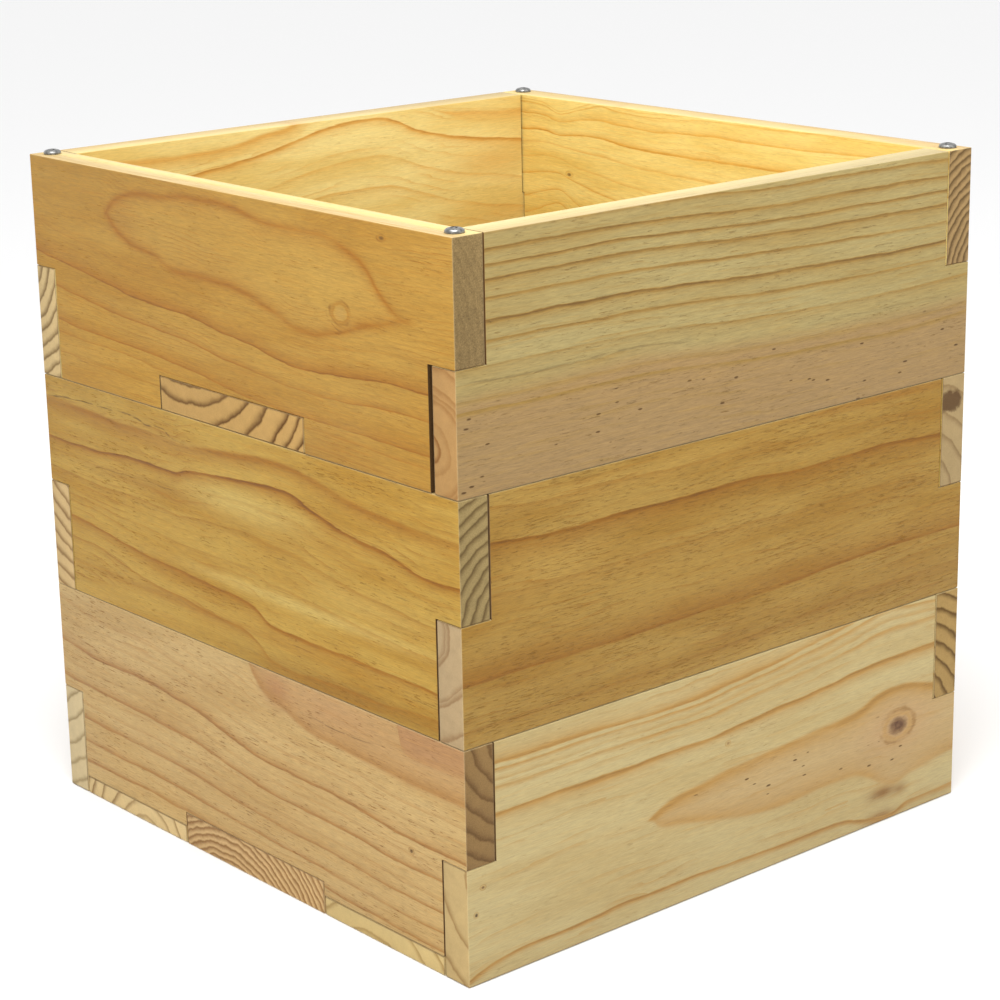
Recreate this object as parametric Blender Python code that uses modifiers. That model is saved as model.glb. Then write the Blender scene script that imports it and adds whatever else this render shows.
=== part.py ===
"""A square beehive body of three stacked tiers in planed pine.

Each tier is four boards, half-lapped at the corners and held by one long pan-head screw down
through each lap. The bottom tier has a floor of three planks, screwed on from below, and a loose
cross plank lies on the middle tier, in notches cut in the top tier's side boards.
Metres, +Z up, origin at the middle of the underside. "Front" is -Y and "left" is -X.
"""

import math

import bmesh
import bpy
from mathutils import Matrix, Vector

# The stack.
SIDE = 0.400  # outer side of the square
HEIGHT = 0.410  # underside to rim
WALL = 0.020  # board thickness
THIN_WALL = 0.0187  # the top tier's front board, planed a little thin
GAP = 0.0003  # between pieces that touch
TIERS = ("bottom", "middle", "top")
PITCH = (HEIGHT + GAP) / len(TIERS)
BOARD = PITCH - GAP  # height of a tier's boards
LAP = BOARD / 2  # height of the half-lap in its tier
HALF = SIDE / 2
INNER = HALF - WALL

# Which way each board's outer face looks, as a turn about Z from the front.
TURNS = {"front": 0, "right": 90, "back": 180, "left": 270}
SHOULDER = 0.0008  # from a board's shoulder to the board that it meets
WIDE_SHOULDER = 0.0033  # the one lap that was cut short, at the top tier's near corner

# The cross plank and its notches.
CROSS_WIDTH = 0.139
CROSS_THICK = 0.020
CROSS_SHIFT = 0.0005  # off the middle, towards the back
CROSS_LIFT = 0.0005  # it lies this far clear of the middle tier
CROSS_SIDE_PLAY = 0.0007

# The floor: a thick plank let up into the side boards, and a thin one on each side of it.
THICK_PLANK = 0.020
THIN_PLANK = 0.011
MIDDLE_PLANK = (-0.0710, 0.0670)  # its edges along Y
PLANK_PLAY = 0.0012  # between planks
NOTCH_PLAY = 0.0006

# Corner screws: pan heads on the tab of a side board, shanks down into the board below it.
INSET = 0.010  # screw axis from both outer faces
PAN_RADIUS = 0.0053
PAN_HEIGHT = 0.0027
PAN_DOME = 0.65  # share of the head's height that its dome takes
PAN_DOME_STEPS = (0, 30, 55, 75, 90)  # degrees from the top, where its profile has a point
PAN_CROSS = (0.0005, 0.0026, 0.0014)  # cross recess: half an arm's width, its reach and its depth
SHANK_RADIUS = 0.00225
CORNER_LENGTH = 0.100
POCKET_RADIUS = 0.0065  # under the tier above, for the head to sit in
POCKET_DEPTH = 0.0042

# Floor screws: countersunk heads in the planks, shanks up into the side boards.
CSK_RADIUS = 0.0042
CSK_DEPTH = 0.0030
CSK_EDGE = 0.0004  # the head's straight edge
CSK_CROSS = (0.0004, 0.0021, 0.0012)
CSK_RECESS = 0.0008  # how far the head sits in the plank
CSK_ROOM = 0.0006  # how much deeper than the head its countersink goes
FLOOR_SHANK = 0.0018
FLOOR_LENGTH = 0.038
FLOOR_SCREW_SPREAD = 0.5  # of a plank's width, between its two screws

POINT = 3  # length of a screw's point, in shank radii
PLAY = 0.00045  # between a shank and the wall of its hole
OVER = 0.004  # how far a cutter runs past the face it opens
ROUND_SIDES = 12
PAN_SIDES = 16
MERGE = 0.00002  # points of a turned profile this near the axis become one
SHARP_ANGLE = math.radians(40)  # edges bent more than this stay sharp

# Base colours of the boards, as seen on their outer faces.
TIMBER = {
    "top_left": (0.60, 0.35, 0.10),
    "top_front": (0.55, 0.41, 0.17),
    "top_right": (0.66, 0.45, 0.14),
    "top_back": (0.66, 0.44, 0.14),
    "middle_left": (0.56, 0.34, 0.08),
    "middle_front": (0.49, 0.29, 0.08),
    "middle_right": (0.56, 0.36, 0.12),
    "middle_back": (0.56, 0.37, 0.12),
    "bottom_left": (0.58, 0.36, 0.14),
    "bottom_front": (0.63, 0.47, 0.21),
    "bottom_right": (0.58, 0.39, 0.15),
    "bottom_back": (0.58, 0.39, 0.15),
    "cross_plank": (0.60, 0.40, 0.18),
    "floor_front": (0.64, 0.48, 0.20),
    "floor_middle": (0.58, 0.38, 0.18),
    "floor_back": (0.64, 0.47, 0.19),
}
ZINC = (0.62, 0.63, 0.65)
PLANED_ROUGHNESS = 0.5
SAWN_ROUGHNESS = 0.55
ZINC_ROUGHNESS = 0.3


def new_collection(name):
    collection = bpy.data.collections.new(name)
    bpy.context.scene.collection.children.link(collection)
    return collection


def principled(name, colour, roughness, metallic):
    material = bpy.data.materials.new(name)
    material.use_nodes = True
    material.diffuse_color = (*colour, 1)
    shader = material.node_tree.nodes["Principled BSDF"]
    shader.inputs["Base Color"].default_value = (*colour, 1)
    shader.inputs["Roughness"].default_value = roughness
    shader.inputs["Metallic"].default_value = metallic
    return material


def add_object(name, fill, collection, parent):
    """An object in a collection, whose mesh is whatever fill() puts in a bmesh."""
    bm = bmesh.new()
    fill(bm)
    mesh = bpy.data.meshes.new(name)
    bm.to_mesh(mesh)
    bm.free()
    obj = bpy.data.objects.new(name, mesh)
    collection.objects.link(obj)
    obj.parent = parent
    return obj


def fill_box(low, high):
    low, high = Vector(low), Vector(high)
    place = Matrix.Translation((low + high) / 2) @ Matrix.Diagonal((*(high - low), 1))
    return lambda bm: bmesh.ops.create_cube(bm, size=1, matrix=place)


def fill_cone(x, y, low, high, low_radius, high_radius):
    place = Matrix.Translation((x, y, (low + high) / 2))
    return lambda bm: bmesh.ops.create_cone(
        bm,
        cap_ends=True,
        segments=ROUND_SIDES,
        radius1=low_radius,
        radius2=high_radius,
        depth=high - low,
        matrix=place,
    )


def cut(obj, fill):
    """Takes a shape, given in the object's own frame, away from the object."""
    cutter = add_object(f"{obj.name}_cutter", fill, cutters, obj)
    cutter.hide_render = True
    cutter.display_type = "WIRE"
    boolean = obj.modifiers.new(cutter.name, "BOOLEAN")
    boolean.operation = "DIFFERENCE"
    boolean.solver = "EXACT"
    boolean.object = cutter


def drill(obj, x, y, low, high, radius):
    cut(obj, fill_cone(x, y, low, high, radius, radius))


def add_board(tier, side):
    """One wall board. Its own frame has X along it, Y inwards from its outer face and Z up."""
    name = f"{tier}_{side}"
    thick = THIN_WALL if name == "top_front" else WALL
    turn = math.radians(TURNS[side])
    board = add_object(name, fill_box((-HALF, 0, 0), (HALF, thick, BOARD)), hive, tier_frames[tier])
    board.location = Matrix.Rotation(turn, 3, "Z") @ Vector((0, -HALF, 0))
    board.rotation_euler.z = turn
    board.data.materials.append(principled(name, TIMBER[name], PLANED_ROUGHNESS, 0))

    tabs_up = side in ("left", "right")
    hole = SHANK_RADIUS + PLAY
    for end in (-1, 1):
        # The corner notch that leaves the tab: below it on side boards, above it on the others.
        at_wide_lap = name == "top_left" and end == 1
        shoulder = INNER - (WIDE_SHOULDER - (WALL - THIN_WALL) if at_wide_lap else SHOULDER)
        ends = sorted((end * shoulder, end * (HALF + OVER)))
        levels = (-OVER, LAP + GAP / 2) if tabs_up else (LAP - GAP / 2, BOARD + OVER)
        cut(board, fill_box((ends[0], -OVER, levels[0]), (ends[1], thick + OVER, levels[1])))

        screw_x = end * (HALF - INSET)
        if tabs_up:
            drill(board, screw_x, INSET, LAP - OVER, BOARD + OVER, hole)
        else:
            tip = BOARD + GAP - CORNER_LENGTH - 2 * GAP
            drill(board, screw_x, INSET, tip, LAP + OVER, hole)
            if tier != "bottom":
                drill(board, screw_x, INSET, -OVER, POCKET_DEPTH, POCKET_RADIUS)
    return board


def notch_side_board(board, middle, width, top):
    """A notch up into the bottom edge of a side board, which lies along the stack's Y."""
    toward_back = -1 if board.name.endswith("left") else 1
    middle *= toward_back
    low = (middle - width / 2, -OVER, -OVER)
    cut(board, fill_box(low, (middle + width / 2, WALL + OVER, top)))


def turned(name, profile, sides):
    """A round mesh from a profile of (radius, z) points that runs down its outer side."""
    points = [Vector((radius, 0, z)) for radius, z in profile]

    def fill(bm):
        line = [bm.verts.new(point) for point in points]
        for above, below in zip(line, line[1:]):
            bm.edges.new((above, below))

    obj = add_object(name, fill, hive, None)
    screw = obj.modifiers.new("turn", "SCREW")
    screw.axis = "Z"
    screw.steps = screw.render_steps = sides
    screw.use_merge_vertices = True
    screw.merge_threshold = MERGE
    screw.use_smooth_shade = False
    return obj


def cross_recess(obj, top, width, reach, depth):
    for half_x, half_y in ((reach, width), (width, reach)):
        cut(obj, fill_box((-half_x, -half_y, top - depth), (half_x, half_y, top + OVER)))


def finished_mesh(obj):
    """The object's mesh with its modifiers applied. The object and its cutters are removed."""
    graph = bpy.context.evaluated_depsgraph_get()
    mesh = bpy.data.meshes.new_from_object(obj.evaluated_get(graph))
    mesh.name = obj.name
    mesh.shade_smooth()
    mesh.set_sharp_from_angle(angle=SHARP_ANGLE)
    for cutter in [modifier.object for modifier in obj.modifiers if modifier.type == "BOOLEAN"]:
        bpy.data.objects.remove(cutter)
    bpy.data.objects.remove(obj)
    return mesh


def pan_head_screw():
    """Points up, with the underside of its head at z = 0."""
    dome = [
        (PAN_RADIUS * math.sin(angle), PAN_HEIGHT * (1 - PAN_DOME + PAN_DOME * math.cos(angle)))
        for angle in (math.radians(step) for step in PAN_DOME_STEPS)
    ]
    shank = [
        (PAN_RADIUS, 0),
        (SHANK_RADIUS, 0),
        (SHANK_RADIUS, -CORNER_LENGTH + POINT * SHANK_RADIUS),
        (0, -CORNER_LENGTH),
    ]
    obj = turned("pan_head_screw", dome + shank, PAN_SIDES)
    cross_recess(obj, PAN_HEIGHT, *PAN_CROSS)
    return finished_mesh(obj)


def countersunk_screw():
    """Points up, with the flat of its head at z = 0, so it is turned over to go in from below."""
    profile = [
        (0, 0),
        (CSK_RADIUS, 0),
        (CSK_RADIUS, -CSK_EDGE),
        (FLOOR_SHANK, -CSK_DEPTH),
        (FLOOR_SHANK, -FLOOR_LENGTH + POINT * FLOOR_SHANK),
        (0, -FLOOR_LENGTH),
    ]
    obj = turned("countersunk_screw", profile, ROUND_SIDES)
    cross_recess(obj, 0, *CSK_CROSS)
    return finished_mesh(obj)


def place_screw(name, mesh, location, parent, upside_down=False):
    screw = bpy.data.objects.new(name, mesh)
    hive.objects.link(screw)
    screw.parent = parent
    screw.location = location
    if upside_down:
        screw.rotation_euler.x = math.pi
    return screw


def add_floor_plank(name, edges, thick, side_boards):
    """A plank under the bottom tier, with two screws up into the side board at each end."""
    low, high = edges
    plank = add_object(
        f"floor_{name}", fill_box((-HALF, low, 0), (HALF, high, thick)), hive, tier_frames["bottom"]
    )
    plank.data.materials.append(principled(plank.name, TIMBER[plank.name], SAWN_ROUGHNESS, 0))
    middle = (low + high) / 2
    spread = (high - low) * FLOOR_SCREW_SPREAD / 2
    hole = FLOOR_SHANK + PLAY
    sink = CSK_RECESS + CSK_DEPTH
    for side, board in side_boards.items():
        x = math.copysign(HALF - INSET, -1 if side == "left" else 1)
        turn_into_board = math.radians(-TURNS[side])
        for number, y in enumerate((middle - spread, middle + spread), 1):
            drill(plank, x, y, -OVER, thick + OVER, hole)
            wide = CSK_RADIUS + PLAY + OVER * (CSK_RADIUS - FLOOR_SHANK) / CSK_DEPTH
            cut(plank, fill_cone(x, y, -OVER + CSK_RECESS, sink + CSK_ROOM, wide, hole))
            in_board = Matrix.Rotation(turn_into_board, 3, "Z") @ Vector((x, y, 0))
            tip = CSK_RECESS + FLOOR_LENGTH + 2 * GAP
            drill(board, in_board.x, INSET, thick - OVER, tip, hole)
            place = (x, y, CSK_RECESS)
            screw_name = f"floor_screw_{name}_{side}_{number}"
            place_screw(screw_name, csk_mesh, place, tier_frames["bottom"], upside_down=True)


for leftover in list(bpy.data.objects):
    bpy.data.objects.remove(leftover)
hive = new_collection("beehive")
cutters = new_collection("cutters")

# Each tier hangs on its own empty, at its own level, because each tier lifts off the one below.
tier_frames = {}
for level, tier in enumerate(TIERS):
    empty = bpy.data.objects.new(f"{tier}_tier", None)
    empty.empty_display_size = 0.05
    empty.location.z = level * PITCH
    hive.objects.link(empty)
    tier_frames[tier] = empty

boards = {(tier, side): add_board(tier, side) for tier in TIERS for side in TURNS}

# One screw down through each lap.
zinc = principled("zinc", ZINC, ZINC_ROUGHNESS, 1)
pan_mesh = pan_head_screw()
csk_mesh = countersunk_screw()
for mesh in (pan_mesh, csk_mesh):
    mesh.materials.clear()
    mesh.materials.append(zinc)
for tier in TIERS:
    for end, y in (("front", INSET - HALF), ("back", HALF - INSET)):
        for side, x in (("left", INSET - HALF), ("right", HALF - INSET)):
            place = (x, y, BOARD + GAP)
            place_screw(f"{tier}_screw_{end}_{side}", pan_mesh, place, tier_frames[tier])

# The floor. The side boards stop short of the ground, and a thick middle plank is let into them.
side_boards = {side: boards["bottom", side] for side in ("left", "right")}
middle_centre = sum(MIDDLE_PLANK) / 2
middle_width = MIDDLE_PLANK[1] - MIDDLE_PLANK[0]
for board in side_boards.values():
    cut(board, fill_box((-HALF - OVER, -OVER, -OVER), (HALF + OVER, WALL + OVER, THIN_PLANK + GAP)))
    notch_side_board(board, middle_centre, middle_width + 2 * NOTCH_PLAY, THICK_PLANK + GAP)
front_edges = (-INNER + SHOULDER, MIDDLE_PLANK[0] - PLANK_PLAY)
back_edges = (MIDDLE_PLANK[1] + PLANK_PLAY, INNER - SHOULDER)
add_floor_plank("front", front_edges, THIN_PLANK, side_boards)
add_floor_plank("middle", MIDDLE_PLANK, THICK_PLANK, side_boards)
add_floor_plank("back", back_edges, THIN_PLANK, side_boards)

# The cross plank lies on the middle tier, under notches in the top tier's side boards.
low = CROSS_SHIFT - CROSS_WIDTH / 2
cross_low = (-HALF, low, BOARD + CROSS_LIFT)
cross_high = (HALF, low + CROSS_WIDTH, BOARD + CROSS_LIFT + CROSS_THICK)
cross = add_object("cross_plank", fill_box(cross_low, cross_high), hive, tier_frames["middle"])
cross.data.materials.append(principled("cross_plank", TIMBER["cross_plank"], SAWN_ROUGHNESS, 0))
for side in ("left", "right"):
    notch_top = CROSS_LIFT + CROSS_THICK
    notch_side_board(boards["top", side], CROSS_SHIFT, CROSS_WIDTH + 2 * CROSS_SIDE_PLAY, notch_top)
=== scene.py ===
import math

import bmesh
import bpy
from mathutils import Matrix, Vector


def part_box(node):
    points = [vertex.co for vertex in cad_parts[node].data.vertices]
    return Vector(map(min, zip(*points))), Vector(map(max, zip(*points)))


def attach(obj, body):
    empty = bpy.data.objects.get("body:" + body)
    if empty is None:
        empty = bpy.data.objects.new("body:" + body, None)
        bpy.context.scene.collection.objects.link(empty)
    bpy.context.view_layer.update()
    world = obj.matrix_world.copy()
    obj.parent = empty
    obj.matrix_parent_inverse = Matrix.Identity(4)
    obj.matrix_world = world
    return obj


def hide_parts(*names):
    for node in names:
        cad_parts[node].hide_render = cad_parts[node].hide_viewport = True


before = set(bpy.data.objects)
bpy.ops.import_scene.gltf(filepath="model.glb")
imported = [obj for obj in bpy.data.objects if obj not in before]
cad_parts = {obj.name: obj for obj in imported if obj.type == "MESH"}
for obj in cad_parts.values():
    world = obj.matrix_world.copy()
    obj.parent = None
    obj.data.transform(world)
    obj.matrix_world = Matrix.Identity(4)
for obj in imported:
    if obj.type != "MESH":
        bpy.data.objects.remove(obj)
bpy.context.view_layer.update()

# BOTTOM TIER. Four boards of planed pine, half-lapped at the corners. Each was sawn from a plank of its
# own, so each has its own grain, and its arrises are eased with fine paper. The wood is left bare.
# Places on a board are in millimetres: along it from its middle, up from the tier's foot, and deep in.

MM = 1000.0
CURVE_UNIT = 100.0  # curve nodes work best on small numbers


class Grain:
    """One socket of a node tree. Arithmetic on it adds Math nodes; node() adds any other node."""

    def __init__(self, socket):
        self.socket = socket

    def node(self, kind, settings, inputs, output=0):
        """A new node: its settings first, then the values or links of its sockets."""
        made = self.socket.id_data.nodes.new(kind)
        for name, value in settings.items():
            if name == "points":
                draw_curve(made.mapping, *value)
            else:
                setattr(made, name, value)
        for name, value in inputs.items():
            if isinstance(value, Grain):
                self.socket.id_data.links.new(value.socket, made.inputs[name])
            else:
                made.inputs[name].default_value = value
        return None if output is None else Grain(made.outputs[output])

    def also(self, output):
        """Another output of the node that this one comes from."""
        return Grain(self.socket.node.outputs[output])

    def sum(self, operation, *values):
        return self.node("ShaderNodeMath", {"operation": operation}, dict(enumerate(values)))

    def __add__(self, other):
        return self.sum("ADD", self, other)

    def __sub__(self, other):
        return self.sum("SUBTRACT", self, other)

    def __rsub__(self, other):
        return self.sum("SUBTRACT", other, self)

    def __mul__(self, other):
        return self.sum("MULTIPLY", self, other)

    def __truediv__(self, other):
        return self.sum("DIVIDE", self, other)

    def __pow__(self, other):
        return self.sum("POWER", self, other)

    def __abs__(self):
        return self.sum("ABSOLUTE", self)

    __radd__ = __add__
    __rmul__ = __mul__

    def least(self, other):
        return self.sum("MINIMUM", self, other)

    def most(self, other):
        return self.sum("MAXIMUM", self, other)

    def decay(self):
        """1 at nothing, dying away as this value grows."""
        return self.sum("EXPONENT", self * -1.0)

    def rise(self, low, high):
        """0 below low and 1 above high, with a soft step between; it falls where low is over high."""
        if low > high:
            return 1 - self.rise(high, low)
        settings = {"interpolation_type": "SMOOTHSTEP"}
        return self.node("ShaderNodeMapRange", settings, {"Value": self, 1: low, 2: high})

    def bend(self, points, handles="AUTO_CLAMPED"):
        """A curve drawn through (place, value) points, read at this value; a bare number is level."""
        if isinstance(points, (int, float)):
            return points
        scaled = [(place / CURVE_UNIT, value / CURVE_UNIT) for place, value in points]
        inputs = {"Value": self / CURVE_UNIT}
        return self.node("ShaderNodeFloatCurve", {"points": (scaled, handles)}, inputs) * CURVE_UNIT

    def noise(self, detail=2.0, rough=0.5):
        """Soft noise from 0 to 1 at this point, one unit to a cell."""
        inputs = {"Vector": self, "Scale": 1.0, "Detail": detail, "Roughness": rough}
        return self.node("ShaderNodeTexNoise", {}, inputs)

    def blend(self, other, share):
        """This colour with a share of the other one laid over it."""
        return self.node("ShaderNodeMix", {"data_type": "RGBA"}, {0: share, 6: self, 7: other}, 2)

    def between(self, first, second):
        """A colour from first to second, as this value goes from 0 to 1."""
        return self.node("ShaderNodeMix", {"data_type": "RGBA"}, {0: self, 6: first, 7: second}, 2)

    def scaled(self, by):
        """A colour or a vector, times a number."""
        return self.node("ShaderNodeVectorMath", {"operation": "SCALE"}, {0: self, "Scale": by})


def draw_curve(mapping, points, handles):
    mapping.use_clip = False
    mapping.extend = "HORIZONTAL"
    curve = mapping.curves[0]
    for number, place in enumerate(points):
        if number < 2:
            curve.points[number].location = place
        else:
            curve.points.new(*place)
    for point in curve.points:
        point.handle_type = handles
    mapping.update()


def srgb(red, green, blue):
    """A colour seen as 0 to 255 on a screen, as the linear values that a shader takes."""
    shares = [part / 255 for part in (red, green, blue)]
    linear = [part / 12.92 if part <= 0.04045 else ((part + 0.055) / 1.055) ** 2.4 for part in shares]
    return (*linear, 1.0)


RING_END = 1.0  # per cent over which a growth ring stops
RING_CORE = 3.2  # per cent that its dark, dense end takes
CORE_SHARE = 0.45


def ring_profile(rings):
    """Darkness against place for growth rings of (place, softness, strength).
    A ring darkens over its softness and stops short; a negative softness has it face the other way."""

    def darkness(at):
        found = 0.0
        for place, soft, strength in rings:
            share = (place - at) / soft
            if 0 <= share <= 1:
                core = max(0.0, 1 - abs(place - at) / RING_CORE)
                body = (1 - CORE_SHARE) * (1 - share) ** 1.4 + CORE_SHARE * core
                found = max(found, strength * body)
        return found

    places = set()
    for place, soft, _ in rings:
        side = math.copysign(1, soft)
        places |= {place - soft * part for part in (1, 0.7, 0.45, 0.25, 0)}
        places |= {place - side * RING_CORE, place - side * RING_CORE / 2, place + side * RING_END}
    return [(place, darkness(place) * CURVE_UNIT) for place in sorted(places)]


def even_rings(first, last, step, soft, strength):
    """Rings at even steps, as in wood that grew steadily."""
    count = int((last - first) / step) + 1
    return [(first + number * step, soft, strength) for number in range(count)]


# The pale of the arrises: partly worn by rubbing, partly a painted highlight.
RUBBED_AND_HIGHLIGHT = srgb(234, 214, 166)
# A painted top light: the cream laid on faces that look up, as if lit from above.
PAINTED_TOP_LIGHT = srgb(198, 179, 134)
# A brown for pitch and dark knots, also used for painted shade in joints, at lap shoulders and under each
# board.
PITCH_AND_SHADE_BROWN = srgb(74, 46, 20)
HALF_WAY = 0.5  # the level that noise swings round
BOARD_SHIFT = {"X": 13.7, "Y": 7.3, "Z": 3.1}  # cells from one board's pattern to the next
KNOT_PULL = 0.7  # how far rings part round a knot, as a share of their way from its middle
KNOT_HOLD = 0.22  # how fast that dies away
# Over this depth the painted light of the inner walls takes over from the outer face's colour.
INNER_LIGHT_DEPTH = (2, 18)  # mm deep, from the outer face's colour to the inner wall's
# Beside a joint, the end grain darkens over this distance: partly dirt, partly painted shade of the gap.
DIRT_AND_SHADE_LINE = (0.9, 0.2)  # mm from a joint, from clean wood to dirt
# Over this distance an arris turns pale: partly worn by rubbing, partly a painted highlight.
ARRIS_LINE = (0.8, 0.1)  # mm from an arris, from plain wood to rubbed
SHEEN = 0.25  # bare wood shines less than varnish
ROUGH = 0.58
BUMP = 0.7


def pine(node, side, foot, seed, tones, low, high, rings, end, lean=0.6, wander=3.0, fine=(9.0, 0.3),
         regions=(), patches=(), knots=(), streaks=(), pores=(0.12, 0.4), pins=None, texture=1.0,
         inner_light=(1.35, 1.5, 1.8), end_knot=None):
    """Bare planed pine for one board, whose face shows on this side of the hive.

    tones are its early wood, a second early tone, the soft band and the dense line of a ring. low and
    high are two of its growth rings, as height against place along; the rings are placed in per cent
    of the way from low to high. end holds the pith's place, the rings round it and the end's tones."""
    early, warm, amber, late = tones
    material = bpy.data.materials.new("pine_" + node)
    material.use_nodes = True
    tree = material.node_tree
    shader = tree.nodes["Principled BSDF"]
    place = Grain(tree.nodes.new("ShaderNodeTexCoord").outputs["Object"])
    x = place.node("ShaderNodeSeparateXYZ", {}, {0: place.scaled(MM)})
    y, z = x.also("Y"), x.also("Z")
    faced = place.node("ShaderNodeSeparateXYZ", {}, {0: place.also("Normal")})
    lowest, highest = (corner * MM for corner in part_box(node))
    sideways = side in ("left", "right")
    along = y if sideways else x
    if side == "flat":
        up, deep = y - foot, highest.z - z
        off_up = (y - lowest.y).least(highest.y - y)
        off_deep = (z - lowest.z).least(highest.z - z)
    else:
        up = z - foot
        off_up = (z - lowest.z).least(highest.z - z)
        thin, near, far = (x, lowest.x, highest.x) if sideways else (y, lowest.y, highest.y)
        deep = thin - near if side in ("left", "front") else far - thin
        off_deep = (thin - near).least(far - thin)
    off_end = (highest.y if sideways else highest.x) - abs(along)
    end_face = abs(faced.also("Y") if sideways else faced).rise(0.5, 0.8)

    def cells(length, height):
        """The point in cells of this size, shifted so that no two boards match."""
        ways = {"X": along / length, "Y": up / height, "Z": deep / height}
        shifted = {way: at + seed * BOARD_SHIFT[way] for way, at in ways.items()}
        return along.node("ShaderNodeCombineXYZ", {}, shifted)

    broad = cells(120, 20).noise(3, 0.55)
    streak = cells(38, 1.4).noise(4, 0.65)
    fibre = cells(8, 0.6).noise(3, 0.7)

    # The growth rings wander a little, and part round the knots.
    grown = up + lean * deep + (cells(75, 30).noise(2, 0.5) - HALF_WAY) * (2 * wander)
    grown = grown + (cells(20, 3.5).noise(3, 0.65) - HALF_WAY) * 2.0
    reaches = []
    for knot_along, knot_up, width, height, _ in knots:
        reach = (((along - knot_along) / width) ** 2 + ((up - knot_up) / height) ** 2) ** 0.5
        reaches.append(reach)
        grown = grown - (up - knot_up) * (reach * reach * KNOT_HOLD).decay() * KNOT_PULL
    first, last = along.bend(low), along.bend(high)
    across = (grown - first) / (last - first) * CURVE_UNIT
    fade = cells(110, 9).noise(3, 0.55).rise(0.22, 0.6) * 0.5 + 0.5
    tone = across.bend(ring_profile(rings), "VECTOR") / CURVE_UNIT * fade
    spacing, fine_tone = fine
    wave = across / spacing + cells(60, 8).noise(2, 0.5) * 1.5
    wave = wave.sum("FRACT", wave)
    patchy = cells(70, 12).noise(2, 0.5).rise(0.42, 0.68)
    tone = tone.most(wave ** 4 * patchy * fine_tone)

    colour = broad.rise(0.35, 0.68).between(early, warm)
    for patch_along, patch_up, width, height, tint, strength in patches:
        away = ((along - patch_along) / width) ** 2 + ((up - patch_up) / height) ** 2
        share = away.decay() * (streak * 0.7 + 0.65) * strength
        colour = colour.blend(tint, share.least(1.0))
    for region in regions:
        above = grown - along.bend(region["under"])
        below = along.bend(region["over"]) - grown
        covered = above.least(below)
        filled = covered.rise(-region["blur"], region["blur"])
        colour = colour.blend(region["tint"], filled * region["fill"])
        for off, (soft, strength, spread) in ((above, region["low_edge"]), (below, region["high_edge"])):
            if strength:
                reach = filled * (1 - spread) + covered.rise(-2.5 * soft, 0.0) * spread
                tone = tone.most((abs(off) / soft).decay() * reach * fade * strength)
    colour = colour.blend(amber, (tone * 2.2).least(1.0))
    colour = colour.blend(late, tone.rise(0.4, 0.95))

    for points, thickness, strength in streaks:
        off = abs(grown - along.bend(points))
        span = along.rise(points[0][0], points[0][0] + 12) * along.rise(points[-1][0], points[-1][0] - 12)
        torn = cells(14, 2).noise(3, 0.6).rise(0.36, 0.56)
        colour = colour.blend(PITCH_AND_SHADE_BROWN, off.rise(thickness, 0.0) * span * torn * strength)

    # Resin canals show as ragged dark dashes along the grain, and in heartwood as pin marks.
    pore_share, pore_ink = pores
    least = 0.635 - 0.2 * pore_share
    crowd = (cells(60, 16).noise(2, 0.5) - HALF_WAY) * 0.22
    dashes = (cells(9, 0.95).noise(4, 0.72) + crowd).rise(least, least + 0.06)
    colour = colour.blend(late, dashes * pore_ink)
    if pins:
        pin = along.node("ShaderNodeTexVoronoi", {}, {"Vector": cells(16, 5), "Scale": 1.0})
        drawn = pin.node("ShaderNodeSeparateXYZ", {}, {0: pin.also("Color")})
        within = (grown - along.bend(pins[0])).rise(0, 4) * (along.bend(pins[1]) - grown).rise(0, 4)
        dots = (pin + (fibre - HALF_WAY) * 0.1).rise(0.14, 0.08) * drawn.rise(0.2, 0.22) * within
        colour = colour.blend(PITCH_AND_SHADE_BROWN, dots * 0.85)
        dashes = dashes.most(dots)

    for (_, _, _, _, ink), reach in zip(knots, reaches):
        swirl = reach + (cells(9, 5).noise(3, 0.6) - HALF_WAY) * 0.7
        wound = (swirl * 7.0).sum("SINE", swirl * 7.0) * 0.12 + cells(3, 2).noise(3, 0.6) * 0.5 + 0.55
        core = swirl.rise(1.05, 0.6)
        halo = swirl.rise(0.9, 1.15) * swirl.rise(1.7, 1.2)
        rim = swirl.rise(1.3, 1.6) * swirl.rise(1.95, 1.6) * cells(16, 10).noise(2, 0.5).rise(0.4, 0.6)
        colour = colour.blend(amber, halo * 0.55)
        colour = colour.blend(late, rim * 0.6)
        colour = colour.blend(ink, (core * wound).least(1.0))

    colour = colour.blend(amber, streak.rise(0.48, 0.8) * (0.45 * texture))
    colour = colour.scaled(1 + (streak - HALF_WAY) * (0.40 * texture) + (fibre - HALF_WAY) * (0.85 * texture))

    # Painted light: the walls within are painted paler than the outer faces, as if more strongly lit.
    inner_lit = colour.node("ShaderNodeVectorMath", {"operation": "MULTIPLY"}, {0: colour, 1: inner_light})
    colour = colour.blend(inner_lit, deep.rise(*INNER_LIGHT_DEPTH))

    # The end grain shows the rings round the pith, a saw-torn speckle and a greyer cast.
    (pith_up, pith_deep), end_rings, end_light, end_dark, speckle = end
    radius = ((up - pith_up) ** 2 + (deep - pith_deep) ** 2) ** 0.5
    radius = radius + (cells(400, 14).noise(3, 0.55) - HALF_WAY) * 6.0
    end_tone = radius.bend(ring_profile(end_rings), "VECTOR") / CURVE_UNIT
    torn = cells(3, 0.8).noise(3, 0.75)
    blotch = cells(9, 7).noise(3, 0.6)
    end_colour = (end_tone * 1.1).least(1.0).between(end_light, end_dark)
    end_colour = end_colour.scaled(1 + (torn - HALF_WAY) * (speckle * 2) + (blotch - HALF_WAY) * 0.3)
    if end_knot:
        knot_up, knot_deep, height, width = end_knot
        away = ((up - knot_up) / height) ** 2 + ((deep - knot_deep) / width) ** 2
        away = away + (blotch - HALF_WAY) * 2
        end_colour = end_colour.blend(PITCH_AND_SHADE_BROWN, away.rise(1.3, 0.5) * 0.85)
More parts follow.
